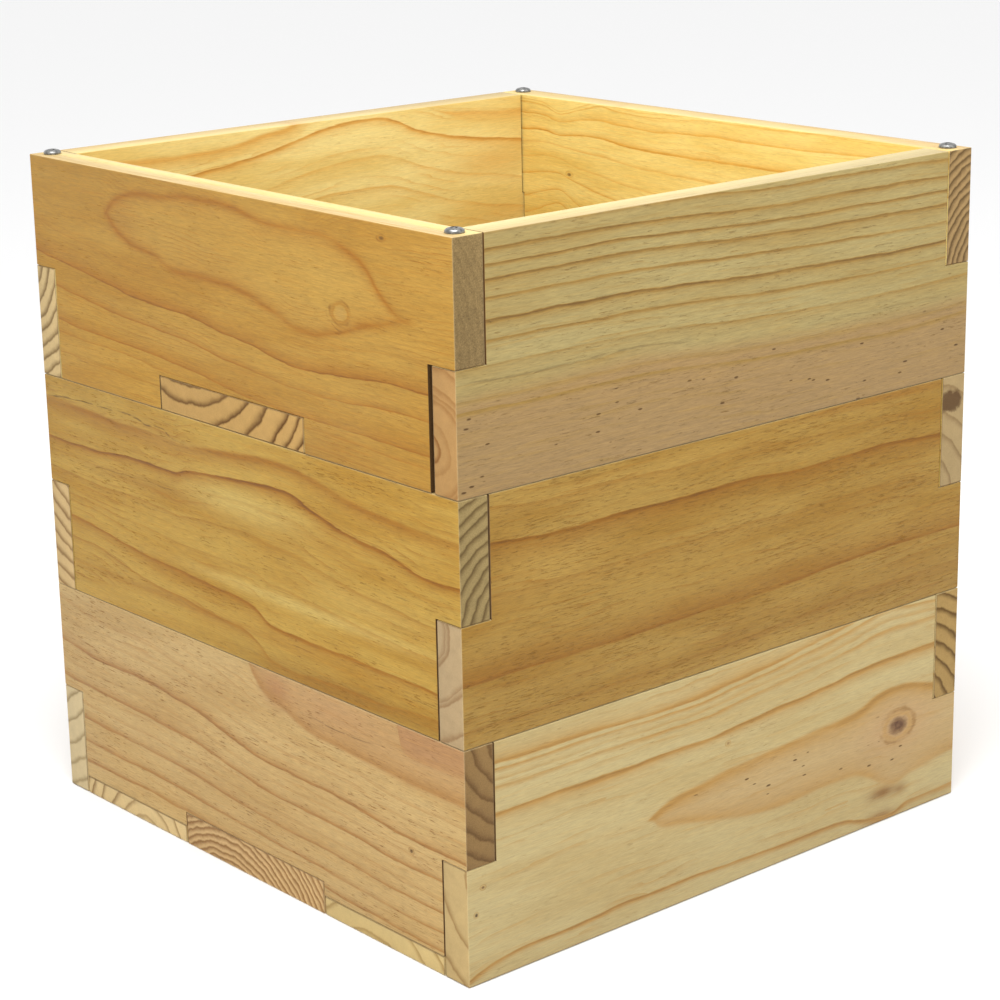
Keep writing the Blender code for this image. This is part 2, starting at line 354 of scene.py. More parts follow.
    # Beside the joint, the end grain is darkened: partly dirt, partly painted shade of the gap.
    if side == "flat":
        joint = off_up.least(deep)
    else:
        inner = far if side in ("left", "front") else near
        half_lap = (highest.z - lowest.z) / 2
        joint = abs(inner - thin).least(abs(up - half_lap))
    end_colour = end_colour.blend(PITCH_AND_SHADE_BROWN, joint.rise(*DIRT_AND_SHADE_LINE) * 0.7)
    colour = colour.blend(end_colour, end_face)
    # Painted shade: the lap shoulders, which sit in shade within the joint, and the lowest millimetre of each
    # board, where shade falls under it, are darkened.
    if side != "flat":
        shoulder_shade = end_face * off_end.rise(0.5, 1.5) * off_end.rise(30, 25)
        lower_arris_shade = (z - lowest.z).rise(0.9, 0.1)
        colour = colour.blend(PITCH_AND_SHADE_BROWN, (shoulder_shade * 0.8).most(lower_arris_shade * 0.5))

    # Arrises are paler: partly worn by rubbing, partly a painted highlight. The second nearest side of the
    # board says how far off an arris is.
    arris = off_up.most(off_deep).least(off_end.most(off_deep)).least(off_up.most(off_end))
    rubbed_and_highlight = (arris + (streak - HALF_WAY) * 0.8).rise(*ARRIS_LINE)
    colour = colour.blend(RUBBED_AND_HIGHLIGHT, rubbed_and_highlight * 0.12)
    # Painted light: faces that look up are laid over with a paler cream, as if lit from above.
    if side != "flat":
        top_light_share = 0.6 + (streak - HALF_WAY) * 1.4
        colour = colour.blend(PAINTED_TOP_LIGHT, faced.also("Z").rise(0.5, 0.9) * top_light_share)

    rough = ROUGH - tone * 0.10 + (fibre - HALF_WAY) * 0.22 + end_face * 0.25 + dashes * 0.2
    rough = rough.most(0.3).least(0.95)
    relief = (streak + fibre) * 0.05 + tone * 0.035 - dashes * 0.12
    relief = relief * (1 - end_face) + (torn * 0.16 + end_tone * 0.08) * end_face
    bump = relief.node("ShaderNodeBump", {}, {"Strength": BUMP, "Distance": 1 / MM, "Height": relief})
    shader.inputs["Specular IOR Level"].default_value = SHEEN
    for name, value in (("Base Color", colour), ("Roughness", rough), ("Normal", bump)):
        tree.links.new(value.socket, shader.inputs[name])
    return material


ARRIS = 0.0006  # how far the fine paper has taken the edges down
ARRIS_STEPS = 2
ARRIS_ANGLE = math.radians(40)  # edges sharper than this are eased
SAME_POINT = 0.00001
SAME_PLANE = math.radians(0.5)


def planed(node, body, finish):
    """The board as it leaves the bench: its sawn shape with eased arrises, in its own wood."""
    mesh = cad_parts[node].data.copy()
    mesh.materials.clear()
    shape = bmesh.new()
    shape.from_mesh(mesh)
    bmesh.ops.remove_doubles(shape, verts=shape.verts, dist=SAME_POINT)
    bmesh.ops.dissolve_limit(shape, angle_limit=SAME_PLANE, verts=shape.verts, edges=shape.edges)
    for face in shape.faces:
        face.smooth = True
    shape.to_mesh(mesh)
    shape.free()
    raw = bpy.data.objects.new(node + "_raw", mesh)
    bpy.context.scene.collection.objects.link(raw)
    eased = raw.modifiers.new("eased arrises", "BEVEL")
    eased.width = ARRIS
    eased.segments = ARRIS_STEPS
    eased.limit_method = "ANGLE"
    eased.angle_limit = ARRIS_ANGLE
    eased.harden_normals = True
    graph = bpy.context.evaluated_depsgraph_get()
    wood = bpy.data.meshes.new_from_object(raw.evaluated_get(graph))
    piece = bpy.data.objects.new(node + "_wood", wood)
    bpy.context.scene.collection.objects.link(piece)
    bpy.data.objects.remove(raw)
    # Easing takes wood away, so no point is left outside the sawn board.
    for vertex in wood.vertices:
        vertex.co = [min(max(at, least), most) for at, least, most in zip(vertex.co, *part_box(node))]
    wood.materials.append(finish)
    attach(piece, body)
    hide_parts(node)


NO_EDGE = (1.0, 0.0, 0.0)
bottom_foot = 0.0
planed("bottom_left", "bottom_tier", pine(
    "bottom_left", "left", bottom_foot, 1.0,
    (srgb(180, 151, 98), srgb(171, 140, 86), srgb(154, 112, 58), srgb(122, 80, 38)),
    low=[(-200, 13.5), (-176, 14), (-120, 15), (-70, 17), (0, 18.5), (72, 21), (140, 22), (200, 21)],
    high=[(-200, 71.5), (-136, 72.5), (-110, 75), (-80, 77), (-50, 77.5), (-20, 79), (0, 82), (20, 85),
          (50, 90), (80, 93), (110, 95), (140, 95), (164, 96), (200, 101)],
    rings=[(0, -9, 0.6), (18, -8, 0.6), (39, -10, 0.6), (70, -12, 0.62), (100, -13, 0.75),
           (52, -5, 0.2), (84, -5, 0.18), (118, -6, 0.18), (134, -7, 0.2)],
    regions=[dict(under=[(-200, 104), (-140, 105), (-90, 107), (-70, 108), (-52, 112), (-40, 116),
                         (-26, 120), (-16, 125), (-8, 133), (10, 170), (200, 260)], over=400.0,
                  tint=srgb(162, 119, 79), fill=0.38, blur=2.5, low_edge=(6, 0.6, 0), high_edge=NO_EDGE),
             dict(under=[(-200, 121), (-165, 120), (-148, 123), (-140, 150), (200, 300)], over=400.0,
                  tint=srgb(148, 97, 64), fill=0.45, blur=3, low_edge=(2, 0.3, 0), high_edge=NO_EDGE)],
    patches=[(-32, 126, 12, 9, srgb(151, 99, 65), 0.7), (-86, 127, 34, 9, srgb(176, 138, 92), 0.5)],
    streaks=[([(-128, 121), (-116, 118.5), (-90, 117), (-62, 119)], 0.6, 0.5)],
    knots=[(-153, 65, 1.6, 1.3, srgb(84, 55, 25))],
    end=((150, 50), even_rings(27, 110, 10, 6, 0.75), srgb(128, 100, 60), srgb(84, 57, 26), 0.45),
    pores=(0.2, 0.7)))

planed("bottom_front", "bottom_tier", pine(
    "bottom_front", "front", bottom_foot, 2.0,
    (srgb(174, 157, 111), srgb(169, 149, 101), srgb(162, 125, 66), srgb(126, 89, 36)),
    low=[(-200, 4), (-180, 9), (-140, 12), (-100, 13), (-40, 13.5), (0, 11.5), (60, 10.5), (100, 9.5),
         (120, 5), (140, 3), (160, 7), (200, 7)],
    high=[(-200, 94.5), (-180, 95), (-120, 95), (-60, 94.5), (-20, 95), (20, 97), (60, 100),
          (100, 103), (140, 106), (180, 105), (200, 104)],
    rings=[(0, 5, 0.8), (100, 10, 0.8), (118, 4, 0.5), (123, -5, 0.3), (130, 4, 0.5), (134, -14, 0.66)],
    regions=[dict(under=[(-200, 62), (-75, 61), (-62, 58), (-58, 54), (-40, 50), (-20, 45), (10, 39),
                         (40, 37), (80, 38), (104, 37.5), (120, 32), (132, 25), (144, 22),
                         (160, 26), (180, 29), (200, 30)],
                  over=[(-200, 50), (-75, 54), (-62, 61), (-52, 65), (-30, 68), (0, 71), (40, 74),
                        (80, 76), (110, 78), (128, 83), (144, 85), (160, 83.5), (180, 79), (200, 77)],
                  tint=srgb(169, 137, 94), fill=0.5, blur=2.5, low_edge=(6, 0.5, 0.2),
                  high_edge=(4.5, 1.0, 0))],
    patches=[(134, 19, 12, 4, srgb(119, 78, 30), 0.9), (150, 17, 6, 3, srgb(119, 78, 30), 0.6),
             (146, 60, 34, 17, srgb(172, 134, 96), 0.7), (132, 3, 12, 4, srgb(127, 85, 35), 0.8)],
    knots=[(146.6, 59.4, 9.5, 6.6, srgb(81, 49, 30)), (-189, 55.8, 1.4, 1, srgb(102, 71, 38)),
           (-194, 41, 1.3, 1.3, srgb(67, 42, 21)), (-2, 88, 1.6, 1.3, srgb(143, 113, 68))],
    end=((62, -24), even_rings(25, 110, 21, 5, 0.6), srgb(176, 151, 102), srgb(123, 88, 41), 0.12),
    pores=(0.03, 0.3), pins=([(-200, 90), (-20, 56), (10, 44), (100, 42), (140, 30), (200, 34)],
                            [(-200, 60), (-20, 66), (40, 68), (200, 72)]), texture=0.7))

planed("bottom_right", "bottom_tier", pine(
    "bottom_right", "right", bottom_foot, 3.0,
    (srgb(180, 152, 96), srgb(171, 140, 82), srgb(162, 120, 60), srgb(130, 87, 37)),
    low=[(-200, 30), (-60, 36), (80, 28), (200, 20)],
    high=[(-200, 96), (-90, 104), (20, 98), (120, 106), (200, 112)],
    rings=[(-28, 10, 0.5), (0, 14, 0.6), (22, 10, 0.4), (47, 14, 0.6), (74, 12, 0.5), (100, 18, 0.7),
           (128, 12, 0.5)],
    end=((46, 52), even_rings(22, 118, 9.5, 4, 0.9), srgb(156, 127, 75), srgb(82, 55, 18), 0.25)))

planed("bottom_back", "bottom_tier", pine(
    "bottom_back", "back", bottom_foot, 4.0,
    (srgb(176, 155, 108), srgb(169, 142, 92), srgb(162, 125, 71), srgb(127, 90, 43)),
    low=[(-200, 40), (-80, 30), (60, 34), (200, 46)],
    high=[(-200, 100), (-40, 92), (90, 96), (200, 108)],
    rings=[(-40, 8, 0.4), (0, 9, 0.6), (33, 8, 0.5), (60, 14, 0.6), (100, 14, 0.7), (130, 9, 0.5)],
    end=((160, -60), even_rings(80, 230, 13, 2.5, 0.8), srgb(186, 167, 128), srgb(126, 106, 68), 0.12)))

# FLOOR. Three pine planks run from side to side under the bottom tier, screwed on from below.
# The middle one is thicker, and is let into a notch in each side board.
planed("floor_front", "bottom_tier", pine(
    "floor_front", "flat", -135.0, 5.0,
    (srgb(187, 163, 108), srgb(178, 149, 92), srgb(167, 129, 70), srgb(135, 97, 47)),
    low=[(-200, -40), (0, -34), (200, -38)], high=[(-200, 40), (0, 46), (200, 38)],
    rings=[(-20, 10, 0.5), (20, 12, 0.6), (60, 14, 0.6), (100, 14, 0.7)],
    end=((20, 62), [(40, 3, 0.4), (54, 3, 0.6), (70, 3, 0.6), (84, 3, 0.7), (92, 3, 0.7), (99, 3, 0.7),
                    (112, 3, 0.6)],
         srgb(189, 165, 111), srgb(131, 98, 44), 0.15)))
planed("floor_middle", "bottom_tier", pine(
    "floor_middle", "flat", 0.0, 6.0,
    (srgb(182, 149, 98), srgb(173, 136, 86), srgb(155, 113, 65), srgb(128, 87, 47)),
    low=[(-200, -40), (0, -34), (200, -38)], high=[(-200, 40), (0, 46), (200, 38)],
    rings=even_rings(-20, 120, 12, 8, 0.55),
    end=((24, 84), even_rings(58, 150, 4.3, 2.8, 0.95), srgb(192, 160, 111), srgb(126, 89, 47), 0.25)))
planed("floor_back", "bottom_tier", pine(
    "floor_back", "flat", 135.0, 7.0,
    (srgb(187, 161, 106), srgb(176, 145, 89), srgb(164, 124, 65), srgb(132, 92, 43)),
    low=[(-200, -40), (0, -34), (200, -38)], high=[(-200, 40), (0, 46), (200, 38)],
    rings=[(-10, 10, 0.5), (30, 12, 0.6), (60, 14, 0.6), (100, 14, 0.7)],
    end=((-22, 30), [(22, 3, 0.5), (32, 3, 0.6), (43, 4, 0.7), (55, 4, 0.7), (66, 4, 0.8), (73, 4, 0.8),
                     (80, 3, 0.8), (86, 3, 0.8)],
         srgb(197, 172, 123), srgb(116, 83, 40), 0.2)))

# MIDDLE TIER. Four boards lapped as below, of a deeper gold pine that was sawn nearer the log's heart.
# It stands loose on the bottom tier and lifts straight off.
middle_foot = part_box("middle_front")[0].z * MM
planed("middle_left", "middle_tier", pine(
    "middle_left", "left", middle_foot, 8.0,
    (srgb(172, 138, 60), srgb(158, 118, 38), srgb(142, 92, 14), srgb(106, 64, 6)),
    low=[(-200, 26.5), (-90, 27), (-30, 28), (-16, 34), (0, 37), (30, 38), (80, 40), (120, 44),
         (146, 48), (180, 50), (200, 51)],
    high=[(-200, 89), (-176, 88.5), (-160, 90), (-140, 94), (-110, 97), (-90, 101), (-70, 106),
          (-56, 110), (-40, 111), (-20, 110.5), (0, 108), (20, 106), (48, 103), (60, 100), (100, 101),
          (120, 100), (144, 97.5), (200, 97)],
    rings=[(-26, 14, 0.4), (0, 22, 0.55), (30, 12, 0.2), (58, 14, 0.25), (100, 12, 0.9), (82, 8, 0.15)],
    regions=[dict(under=[(-200, 104), (-120, 107), (-80, 114), (-40, 118), (0, 115), (70, 110), (200, 113)],
                  over=[(-200, 113), (-140, 114), (-120, 116), (-100, 119), (-80, 123), (-40, 127),
                        (0, 124), (70, 119), (200, 122)],
                  tint=srgb(156, 112, 34), fill=0.3, blur=2.5, low_edge=NO_EDGE, high_edge=(3.5, 0.7, 0))],
    patches=[(-5, 94, 60, 9, srgb(184, 158, 86), 0.9), (-60, 46, 116, 4, srgb(184, 158, 86), 0.9),
             (-120, 60, 60, 8, srgb(180, 150, 76), 0.6), (60, 118, 60, 4, srgb(184, 156, 84), 0.5),
             (60, 20, 110, 3, srgb(142, 95, 26), 0.5), (100, 86, 60, 3, srgb(137, 91, 24), 0.4),
             (-100, 5, 110, 8, srgb(122, 84, 24), 0.6)],
    streaks=[([(44, 123), (60, 121), (72, 124.5), (88, 123), (96, 125), (130, 126.5), (200, 122.5)],
              1.0, 0.75),
             ([(-80, 21.5), (-30, 21.5)], 0.6, 0.5), ([(-176, 18), (-120, 18)], 0.6, 0.5),
             ([(56, 88), (160, 88)], 0.6, 0.4), ([(-54, 70), (-30, 70)], 0.7, 0.4),
             ([(-172, 72), (-140, 72)], 0.7, 0.4)],
    end=((62, 42), even_rings(16, 90, 6.5, 3, 0.8), srgb(141, 121, 77), srgb(79, 57, 24), 0.45),
    pores=(0.16, 0.5)))

planed("middle_front", "middle_tier", pine(
    "middle_front", "front", middle_foot, 9.0,
    (srgb(154, 122, 56), srgb(142, 106, 38), srgb(132, 87, 18), srgb(104, 66, 12)),
    low=[(-200, 36), (-120, 35), (-20, 36), (40, 37), (100, 40), (180, 40.5), (200, 40.5)],
    high=[(-200, 112), (-180, 110), (-130, 107), (-80, 107), (-36, 106), (16, 107), (50, 104.5),
          (120, 105), (176, 103), (200, 103)],
    rings=[(-34, 14, 0.25), (0, -34, 0.6), (62, 20, 0.25), (100, 20, 0.85), (126, 10, 0.25)],
    patches=[(-140, 89, 36, 14, srgb(163, 130, 62), 0.8), (-70, 126, 110, 5, srgb(163, 130, 62), 0.6),
             (130, 134, 80, 3, srgb(135, 90, 25), 0.7), (0, 6, 200, 4, srgb(161, 129, 59), 0.5)],
    end=((61, 33), [(20, 3, 0.5), (23, 4, 0.6), (41, 3, 0.5), (44, 4, 0.6), (62, 5, 0.6)],
         srgb(166, 142, 105), srgb(122, 87, 49), 0.15),
    pores=(0.34, 0.45), wander=2.0))

planed("middle_right", "middle_tier", pine(
    "middle_right", "right", middle_foot, 10.0,
    (srgb(169, 133, 55), srgb(160, 122, 45), srgb(153, 105, 29), srgb(120, 77, 14)),
    low=[(-200, 42), (-110, 34), (-10, 30), (90, 38), (200, 50)],
    high=[(-200, 104), (-120, 110), (-40, 102), (40, 98), (120, 106), (200, 100)],
    rings=[(-36, 12, 0.4), (0, 16, 0.6), (30, 10, 0.3), (58, 18, 0.55), (100, 14, 0.85), (124, 10, 0.4)],
    knots=[(78, 52, 8, 5.4, srgb(83, 48, 18))],
    end=((60, 42), [(34, 3, 0.5), (47, 4, 0.5), (60, 4, 0.5), (76, 5, 0.5)],
         srgb(158, 135, 94), srgb(101, 72, 37), 0.2), end_knot=(121, 12, 7, 10)))

planed("middle_back", "middle_tier", pine(
    "middle_back", "back", middle_foot, 11.0,
    (srgb(161, 127, 55), srgb(152, 117, 44), srgb(145, 100, 28), srgb(116, 76, 16)),
    low=[(-200, 30), (-90, 44), (20, 40), (110, 26), (200, 22)],
    high=[(-200, 92), (-70, 106), (50, 102), (130, 94), (200, 90)],
    rings=[(-30, 10, 0.4), (0, 12, 0.6), (26, 8, 0.4), (55, 16, 0.6), (100, 16, 0.8), (132, 9, 0.5)],
    end=((130, 60), even_rings(40, 170, 9, 4, 0.8), srgb(186, 158, 110), srgb(112, 78, 39), 0.2)))

# CROSS PLANK. One loose pine plank lies across the hive, in notches under the top tier's side boards,
# and draws out endways. Its ends show flush in the side faces.
planed("cross_plank", "cross_plank", pine(
    "cross_plank", "flat", 0.0, 12.0,
    (srgb(180, 145, 81), srgb(169, 131, 65), srgb(158, 113, 49), srgb(128, 85, 30)),
    low=[(-200, -40), (-60, -30), (90, -42), (200, -36)], high=[(-200, 38), (0, 48), (120, 36), (200, 40)],
    rings=[(-10, 10, 0.5), (25, 12, 0.6), (60, 14, 0.6), (100, 14, 0.7)],
    end=((45, -67.5), [(69, 3, 0.8), (79.5, 5, 0.85), (93, 5, 0.9), (106, 6, 0.9), (121.5, 6, 0.95),
                       (131, 4, 0.95), (139, 4, 0.95)], srgb(175, 139, 81), srgb(85, 51, 10), 0.2)))

# TOP TIER. Four boards lapped as below, with an open rim, in yellower pine. The left and right boards
# are notched for the cross plank. The front board was planed a little thinner than the rest.
# Painted light for the walls within the top tier: their wood is painted paler, as if more strongly lit.
TOP_TIER_INNER_LIGHT = (2.0, 2.7, 4.6)  # how much paler in red, green and blue the walls inside the top tier are
top_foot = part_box("top_front")[0].z * MM
planed("top_left", "top_tier", pine(
    "top_left", "left", top_foot, 13.0,
    (srgb(171, 132, 56), srgb(162, 120, 44), srgb(152, 101, 27), srgb(122, 75, 12)),
    low=[(-200, 18.5), (-176, 19), (-100, 21), (-60, 21), (4, 25), (24, 28), (60, 30.5), (100, 32.5),
         (140, 34.5), (180, 38), (200, 39)],
    high=[(-200, 52), (-176, 52), (-120, 51), (-100, 49.5), (-80, 47.5), (-60, 48), (-40, 51),
          (-20, 54.5), (8, 56.5), (40, 60), (70, 62), (100, 64), (140, 70), (180, 75), (200, 79)],
    rings=[(-57, -8, 0.3), (-21, -12, 0.35), (0, -26, 0.65), (54, -18, 0.6), (100, -34, 0.9),
           (150, -20, 0.2)],
    regions=[dict(under=[(-200, 140), (-172, 95), (-150, 85), (-130, 81), (-112, 77), (-96, 72),
                         (-80, 68), (-66, 69), (-50, 74), (-30, 79), (-12, 83), (20, 84.5),
                         (50, 85), (70, 92), (100, 98), (114, 107), (124, 118), (200, 200)],
                  over=[(-200, 50), (-172, 82), (-150, 92), (-140, 100), (-128, 112), (-112, 119),
                        (-90, 124), (-50, 123), (-30, 124.5), (-10, 129), (20, 130.5), (60, 128),
                        (96, 124), (114, 115), (124, 104), (200, 60)],
                  tint=srgb(176, 139, 64), fill=0.5, blur=3, low_edge=(3.6, 0.62, 0.8),
                  high_edge=(3.6, 0.62, 0.8))],
    patches=[(101, 108, 14, 9, srgb(140, 91, 27), 0.75), (-100, 100, 50, 12, srgb(178, 144, 70), 0.5)],
    streaks=[([(-116, 78.5), (-106, 76), (-97, 80), (-90, 86)], 1.0, 0.5)],
    knots=[(-106, 84, 5.5, 4.2, srgb(171, 135, 67)), (-143, 129, 2.6, 1.3, srgb(102, 68, 23))],
    end=((60, -120), even_rings(110, 150, 5, 3, 0.2), srgb(126, 104, 65), srgb(83, 63, 32), 0.95),
    pores=(0.08, 0.35), inner_light=TOP_TIER_INNER_LIGHT))

planed("top_front", "top_tier", pine(
    "top_front", "front", top_foot, 14.0,
    (srgb(158, 141, 91), srgb(153, 133, 81), srgb(145, 114, 55), srgb(106, 76, 31)),
    low=[(-200, 45), (-90, 45), (-40, 43), (20, 39), (100, 36), (140, 35), (200, 38.5)],
    high=[(-200, 112.5), (-100, 112.5), (-40, 111), (20, 108), (80, 107), (200, 106)],
    rings=[(0, 6, 0.6), (9, 5, 0.35), (34, 14, 0.45), (53, 5, 0.7), (68, 8, 0.95), (85, 4, 0.8),
           (100, 10, 0.85), (111, 4, 0.85), (123, 7, 0.85), (137, 6, 0.7)],
    regions=[dict(under=-400.0, over=[(-200, 52), (-140, 53), (-80, 55), (-20, 51), (60, 46),
                                      (140, 45), (200, 47)],
                  tint=srgb(150, 119, 76), fill=0.85, blur=7, low_edge=NO_EDGE, high_edge=NO_EDGE)],
    streaks=[([(-200, 61), (-140, 59), (-80, 60.5), (-30, 57)], 1.3, 0.35),
             ([(60, 51), (180, 51)], 1.2, 0.25)],
    end=((24, 20), [(6.7, 3, 0.9), (14, 5, 0.3), (26, 3, 0.5), (29, 3, 0.5), (33, 4, 0.5), (44, 5, 0.5),
                    (56, 5, 0.4)], srgb(169, 130, 78), srgb(129, 83, 34), 0.15),
    pores=(0.1, 0.5), pins=(-20.0, 46.0), wander=1.6, inner_light=(1.5, 1.7, 2.0)))

planed("top_right", "top_tier", pine(
    "top_right", "right", top_foot, 15.0,
    (srgb(176, 137, 62), srgb(167, 124, 48), srgb(161, 106, 32), srgb(134, 81, 16)),
    low=[(-200, 60), (0, 66), (94, 74), (120, 80), (146, 87.5), (180, 82.5), (200, 80)],
    high=[(-200, 109), (-60, 109), (44, 109), (80, 111), (104, 113), (140, 112), (158, 114.5), (180, 113.5),
          (200, 113)],
    rings=[(-90, -12, 0.5), (-50, -14, 0.5), (0, -10, 0.5), (36, -8, 0.3), (70, -8, 0.4), (100, -14, 0.8),
           (134, -20, 0.5), (158, 4, 0.5), (165, 4, 0.3)],
    knots=[(132, 86, 2.4, 1.4, srgb(94, 58, 17))],
    end=((60, -26), even_rings(22, 110, 5, 2.6, 0.85), srgb(157, 128, 83), srgb(73, 50, 20), 0.3),
    lean=0.0, inner_light=TOP_TIER_INNER_LIGHT, pores=(0.0, 0.25), texture=0.7))

planed("top_back", "top_tier", pine(
    "top_back", "back", top_foot, 16.0,
    (srgb(160, 126, 61), srgb(152, 114, 48), srgb(146, 96, 32), srgb(122, 73, 18)),
    low=[(-200, 20), (-60, 44), (20, 60), (60, 60), (120, 44), (200, 26)],
    high=[(-200, 96), (-94, 112.5), (-40, 120.5), (-10, 127.5), (10, 131.5), (50, 133.5), (70, 129.5),
          (80, 124.5), (100, 118.5), (130, 112.5), (178, 106.5), (200, 104)],
    rings=[(-34, 10, 0.4), (0, 12, 0.55), (38, 12, 0.35), (66, 10, 0.3), (100, 11, 0.85)],
    regions=[dict(under=[(-200, 118), (-70, 120), (-14, 128), (10, 142), (70, 142), (140, 121), (200, 119)],
                  over=[(-200, 126), (-146, 127.5), (-70, 127.5), (-40, 132.5), (-14, 137), (10, 150),
                        (70, 150), (96, 135.5), (140, 129.5), (178, 127.5), (200, 127)],
                  tint=srgb(149, 104, 39), fill=0.3, blur=2, low_edge=NO_EDGE, high_edge=(3.5, 0.7, 0))],
    patches=[(150, 95, 34, 10, srgb(146, 98, 34), 0.6), (150, 55, 40, 6, srgb(146, 98, 34), 0.4)],
    end=((80, -30), even_rings(22, 110, 8, 4, 0.8), srgb(187, 162, 115), srgb(97, 71, 33), 0.2),
    lean=0.0, inner_light=TOP_TIER_INNER_LIGHT, pores=(0.0, 0.25), texture=0.7))

# SCREWS. Zinc-plated steel, turned and thread-rolled, with a cross recess punched in the head. A pan
# head holds each corner's lap, driven down from the tier's top edge; countersunk ones hold the floor.
PAN_HEAD = {"Head Radius": 0.0053, "Dome Height": 0.0027, "Cone Depth": 0.0, "Shank Radius": 0.00225,
            "Length": 0.100, "Smooth Part": 0.040, "Pitch": 0.0026, "Recess Length": 0.0052,
            "Recess Width": 0.0010, "Recess Depth": 0.0014}
COUNTERSUNK = {"Head Radius": 0.0042, "Dome Height": 0.0, "Cone Depth": 0.0030, "Shank Radius": 0.0018,
               "Length": 0.038, "Smooth Part": 0.014, "Pitch": 0.0016, "Recess Length": 0.0040,
               "Recess Width": 0.0008, "Recess Depth": 0.0010}
HEAD_ROWS = 26
UNDER_ROWS = 8
ROWS = 220
SIDES = 24
DOME_SWELL = 0.6  # under 1 keeps the dome full towards its rim
THREAD_CUT = 0.2  # share of the shank's radius that the thread is cut in
TIP = 0.006
SAME_METAL = 0.000005
HEAD_EDGE = math.radians(35)  # edges sharper than this stay crisp

steel = bpy.data.materials.new("zinc_steel")
steel.use_nodes = True
shader = steel.node_tree.nodes["Principled BSDF"]
on_screw = Grain(steel.node_tree.nodes.new("ShaderNodeAttribute").outputs["Vector"])
on_screw.socket.node.attribute_name = "screw_place"
on_screw = on_screw.scaled(MM)
spot = on_screw.node("ShaderNodeSeparateXYZ", {}, {0: on_screw})
risen = spot.also("Z")
brushed = on_screw.scaled(2.2).noise(3, 0.6)
blotch = on_screw.scaled(0.5).noise(2, 0.5)
centre = (spot * spot + spot.also("Y") * spot.also("Y")) ** 0.5
# The cross recess is painted a dark grey-brown and made rougher.
punched = centre.rise(2.9, 2.3) * risen.rise(2.25, 1.7) * risen.rise(0.2, 0.6)
bright = blotch.rise(0.3, 0.7).between(srgb(160, 160, 157), srgb(116, 116, 114))
bright = bright.blend(srgb(64, 60, 54), punched * 0.85)
relief = brushed * 0.03
bump = relief.node("ShaderNodeBump", {}, {"Strength": 0.6, "Distance": 1 / MM, "Height": relief})
rough = brushed * 0.2 + 0.24 + punched * 0.3
shader.inputs["Metallic"].default_value = 1.0
for name, value in (("Base Color", bright), ("Roughness", rough), ("Normal", bump)):
    steel.node_tree.links.new(value.socket, shader.inputs[name])

screw_tree = bpy.data.node_groups.new("screws", "GeometryNodeTree")
screw_tree.interface.new_socket("Places", in_out="INPUT", socket_type="NodeSocketGeometry")
for name in PAN_HEAD:
    screw_tree.interface.new_socket(name, in_out="INPUT", socket_type="NodeSocketFloat")
screw_tree.interface.new_socket("Upside Down", in_out="INPUT", socket_type="NodeSocketFloat")
screw_tree.interface.new_socket("Seed", in_out="INPUT", socket_type="NodeSocketInt")
screw_tree.interface.new_socket("Metal", in_out="INPUT", socket_type="NodeSocketMaterial")
screw_tree.interface.new_socket("Screws", in_out="OUTPUT", socket_type="NodeSocketGeometry")
given = Grain(screw_tree.nodes.new("NodeGroupInput").outputs[0])
head_radius, shank_radius = given.also("Head Radius"), given.also("Shank Radius")
dome, cone, length = given.also("Dome Height"), given.also("Cone Depth"), given.also("Length")

# A flat sheet is rolled up into the screw: its rows run from the top of the head to the tip.
sheet_size = {"Size X": 1.0, "Size Y": 1.0, "Vertices X": ROWS, "Vertices Y": SIDES + 1}
sheet = given.node("GeometryNodeMeshGrid", {}, sheet_size)
on_sheet = given.node("GeometryNodeInputPosition", {}, {})
row = given.node("ShaderNodeSeparateXYZ", {}, {0: on_sheet})
turned = (row.also("Y") + HALF_WAY) * math.tau
row = (row + HALF_WAY) * (ROWS - 1)


def stretch(first, last):
    """How far a row is from one row to another, from 0 to 1."""
    return ((row - first) / (last - first)).most(0.0).least(1.0)


over_head = stretch(0, HEAD_ROWS) * (math.pi / 2)
under_head = stretch(HEAD_ROWS, HEAD_ROWS + UNDER_ROWS)
down = stretch(HEAD_ROWS + UNDER_ROWS, ROWS - 1)
height = dome * over_head.sum("COSINE", over_head).most(0.0) ** DOME_SWELL
height = height - cone * under_head - (length - cone) * down
head_part = over_head.sum("SINE", over_head) * head_radius
radius = head_part - (head_radius - shank_radius) * under_head
wound = height / given.also("Pitch") + turned / math.tau
thread = abs(wound.sum("FRACT", wound) - HALF_WAY) * 2
# The thread runs in over a millimetre, and the point tapers.
threaded = (height + given.also("Smooth Part")) * -MM
radius = radius - shank_radius * THREAD_CUT * thread * threaded.most(0.0).least(1.0)
radius = radius * ((length + height) / TIP).least(1.0)
round_x = radius * turned.sum("COSINE", turned)
round_y = radius * turned.sum("SINE", turned)
spun = given.node("ShaderNodeCombineXYZ", {}, {"X": round_x, "Y": round_y, "Z": height})
blank = given.node("GeometryNodeSetPosition", {}, {"Geometry": sheet, "Position": spun})
blank = given.node("GeometryNodeMergeByDistance", {}, {"Geometry": blank, "Distance": SAME_METAL})
recess_length, recess_width = given.also("Recess Length"), given.also("Recess Width")
recess_height = given.also("Recess Depth") * 2
recess_place = given.node("ShaderNodeCombineXYZ", {}, {"Z": dome})
arms = []
for size in ({"X": recess_length, "Y": recess_width, "Z": recess_height},
             {"X": recess_width, "Y": recess_length, "Z": recess_height}):
    block = given.node("ShaderNodeCombineXYZ", {}, size)
    cube = given.node("GeometryNodeMeshCube", {}, {"Size": block})
    arms.append(given.node("GeometryNodeTransform", {}, {"Geometry": cube, "Translation": recess_place}))
for arm in arms:
    blank = given.node("GeometryNodeMeshBoolean", {"operation": "DIFFERENCE", "solver": "EXACT"},
                       {"Mesh 1": blank, "Mesh 2": arm})
on_blank = given.node("GeometryNodeInputPosition", {}, {})
